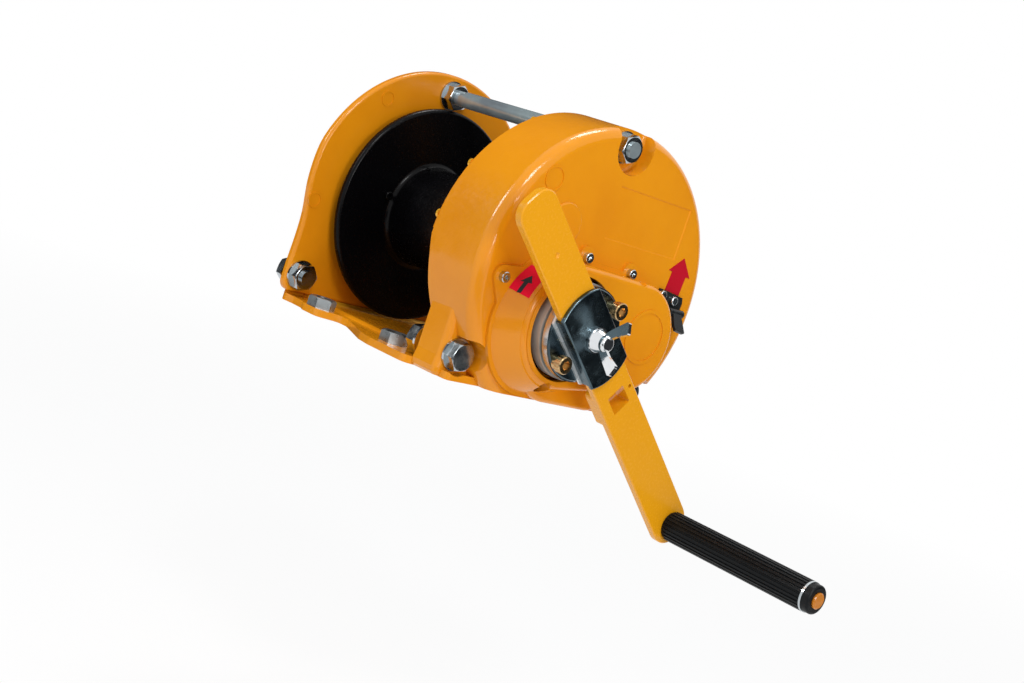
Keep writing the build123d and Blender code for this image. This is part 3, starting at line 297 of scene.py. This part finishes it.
def plate_seam():
    """Filled joint between the foot of the left plate and the base."""
    x0, x1 = PLATE_X
    profile = [(x0, BASE_FACE), (x0, PLATE_FOOT), (x1, PLATE_FOOT), (x1 + 0.5, PLATE_FOOT - 1.2)]
    profile += [(x1 + 1.2, PLATE_FOOT - 2.1), (x1 + 2.4, BASE_FACE)]
    points, faces = bar(profile, -PLATE_HALF, PLATE_HALF)
    solid("plate_seam", points, faces, bpy.data.materials["orange_paint"])


def recess_edge():
    """Sloping edge all round the bare nameplate recess."""
    def rect(x, inset):
        y0, y1 = RECESS_Y[0] + inset, RECESS_Y[1] - inset
        z0, z1 = RECESS_Z[0] + inset, RECESS_Z[1] - inset
        return [drawn(x, y0, z0), drawn(x, y1, z0), drawn(x, y1, z1), drawn(x, y0, z1)]
    top, foot, under = rect(0.02, -0.3), rect(-RECESS_DEEP, RECESS_SLOPE), rect(-RECESS_DEEP - 0.1, -0.3)
    points, faces = ring_of_loops([top, foot, under])
    edge = paint("edge_paint", ORANGE, 0.55, 0.2, 0.0, 0.15)
    solid("recess_edge", points, faces, edge)


def on_cone(deg, share, lift):
    """Point on the flared wall, at an angle and a share of its height."""
    x, y, z, r = (a + (b - a) * share for a, b in (CONE_X, CONE_Y, CONE_Z, CONE_R))
    t = math.radians(deg)
    return drawn(x, y + (r + lift) * math.cos(t), z + (r + lift) * math.sin(t))


def turn_mark():
    """Plain dark arrow on the red fan label."""
    steps = [MARK_DEG + (MARK_NECK_DEG - MARK_DEG) * i / 6 for i in range(7)]
    head = [MARK_NECK_DEG + (MARK_TIP_DEG - MARK_NECK_DEG) * i / 4 for i in range(5)]
    rows = [(deg, MARK_HALF) for deg in steps]
    rows += [(deg, MARK_HEAD * (1 - i / 4) + 0.004) for i, deg in enumerate(head)]
    loops = []
    for deg, half in rows:
        low, high = MARK_MID - half, MARK_MID + half
        corners = [(low, -0.1), (high, -0.1), (high, 0.12), (low, 0.12)]
        loops.append([on_cone(deg, share, lift) for share, lift in corners])
    points, faces = ring_of_loops(loops)
    faces = faces[:-4] + [(0, 1, 2, 3), tuple(range(len(points) - 4, len(points)))]
    solid("turn_mark", points, faces, bpy.data.materials["black_steel"])


def make_details():
    plate_seam()
    recess_edge()
    turn_mark()


# Stage, lights and camera
def light_factor(nodes, links):
    """One where a ray comes from the camera, a gloss or glass."""
    path = nodes.new("ShaderNodeLightPath")
    value = path.outputs["Is Camera Ray"]
    for name in ("Is Glossy Ray", "Is Transmission Ray"):
        both = nodes.new("ShaderNodeMath")
        both.operation = "MAXIMUM"
        links.new(value, both.inputs[0])
        links.new(path.outputs[name], both.inputs[1])
        value = both.outputs["Value"]
    return value


def stage_material():
    """Pale floor that keeps the shadow near the object and fades to white around it."""
    mat, nodes, links, bsdf = new_material("pale_stage")
    bsdf.inputs["Base Color"].default_value = (0.94, 0.94, 0.94, 1)
    bsdf.inputs["Roughness"].default_value = 0.9
    glow = nodes.new("ShaderNodeEmission")
    glow.inputs["Color"].default_value = (*BACKDROP, 1)
    length = nodes.new("ShaderNodeVectorMath")
    length.operation = "LENGTH"
    links.new(place(nodes, links), length.inputs[0])
    share = nodes.new("ShaderNodeMath")
    share.operation = "MULTIPLY"
    links.new(light_factor(nodes, links), share.inputs[0])
    links.new(spread(nodes, links, length.outputs["Value"], *FADE, FLOOR_GLOW, 1.0), share.inputs[1])
    mix = nodes.new("ShaderNodeMixShader")
    links.new(share.outputs["Value"], mix.inputs["Fac"])
    links.new(bsdf.outputs["BSDF"], mix.inputs[1])
    links.new(glow.outputs["Emission"], mix.inputs[2])
    links.new(mix.outputs["Shader"], nodes["Material Output"].inputs["Surface"])
    return mat


def flat_piece(name, corners, mat):
    mesh = bpy.data.meshes.new(name)
    mesh.from_pydata(corners, [], [(0, 1, 2, 3)])
    mesh.materials.append(mat)
    piece = bpy.data.objects.new(name, mesh)
    bpy.context.scene.collection.objects.link(piece)
    return piece


def make_stage():
    s = STAGE_SIZE / 2
    corners = [(x, y, FLOOR_Z) for x, y in ((-s, -s), (s, -s), (s, s), (-s, s))]
    flat_piece("floor", corners, stage_material())
    world = bpy.data.worlds.new("studio")
    bpy.context.scene.world = world
    world.use_nodes = True
    nodes, links = world.node_tree.nodes, world.node_tree.links
    soft = nodes["Background"]
    soft.inputs["Color"].default_value = (0.95, 0.97, 1.0, 1)
    soft.inputs["Strength"].default_value = WORLD_STRENGTH
    clear = nodes.new("ShaderNodeBackground")
    clear.inputs["Color"].default_value = (*BACKDROP, 1)
    mix = nodes.new("ShaderNodeMixShader")
    links.new(light_factor(nodes, links), mix.inputs["Fac"])
    links.new(soft.outputs["Background"], mix.inputs[1])
    links.new(clear.outputs["Background"], mix.inputs[2])
    links.new(mix.outputs["Shader"], nodes["World Output"].inputs["Surface"])


def dark_card(name, at, aim, width, height):
    """Black card outside the picture, seen only in gloss."""
    mat, nodes, links, bsdf = new_material(name)
    bsdf.inputs["Base Color"].default_value = (0.012, 0.014, 0.016, 1)
    bsdf.inputs["Roughness"].default_value = 0.8
    turn = (Vector(aim) - Vector(at)).to_track_quat("-Z", "Y").to_matrix()
    w, h = width / 2, height / 2
    corners = [Vector(at) + turn @ Vector((x, y, 0)) for x, y in ((-w, -h), (w, -h), (w, h), (-w, h))]
    card = flat_piece(name, corners, mat)
    card.visible_camera = False
    card.visible_diffuse = False
    card.visible_shadow = False


def make_lights():
    for name, (at, size, watts) in LAMPS.items():
        data = bpy.data.lights.new(name, "AREA")
        data.shape = "RECTANGLE"
        data.size, data.size_y = size
        data.energy = watts
        lamp = bpy.data.objects.new(name, data)
        lamp.location = at
        lamp.rotation_euler = (Vector(AIM) - Vector(at)).to_track_quat("-Z", "Y").to_euler()
        bpy.context.scene.collection.objects.link(lamp)


def make_cards():
    for name, (at, aim, width, height) in CARDS.items():
        dark_card(name, at, aim, width, height)


def make_camera():
    a, e, r = (math.radians(v) for v in (AZIMUTH, ELEVATION, ROLL))
    back = Vector((math.sin(a) * math.cos(e), -math.cos(a) * math.cos(e), math.sin(e)))
    level = Vector((math.cos(a), math.sin(a), 0))
    up = back.cross(level)
    right = level * math.cos(r) + up * math.sin(r)
    top = back.cross(right)
    data = bpy.data.cameras.new("camera")
    data.lens, data.sensor_width = LENS_MM, SENSOR_MM
    data.clip_start, data.clip_end = 0.05, 40
    camera = bpy.data.objects.new("camera", data)
    camera.matrix_world = Matrix.Translation(CAMERA_AT) @ Matrix((right, top, back)).transposed().to_4x4()
    bpy.context.scene.collection.objects.link(camera)
    bpy.context.scene.camera = camera


dress_painted()
dress_metal()
dress_moulded()
make_details()
make_stage()
make_lights()
make_cards()
make_camera()
bpy.context.scene.view_settings.view_transform = "Standard"
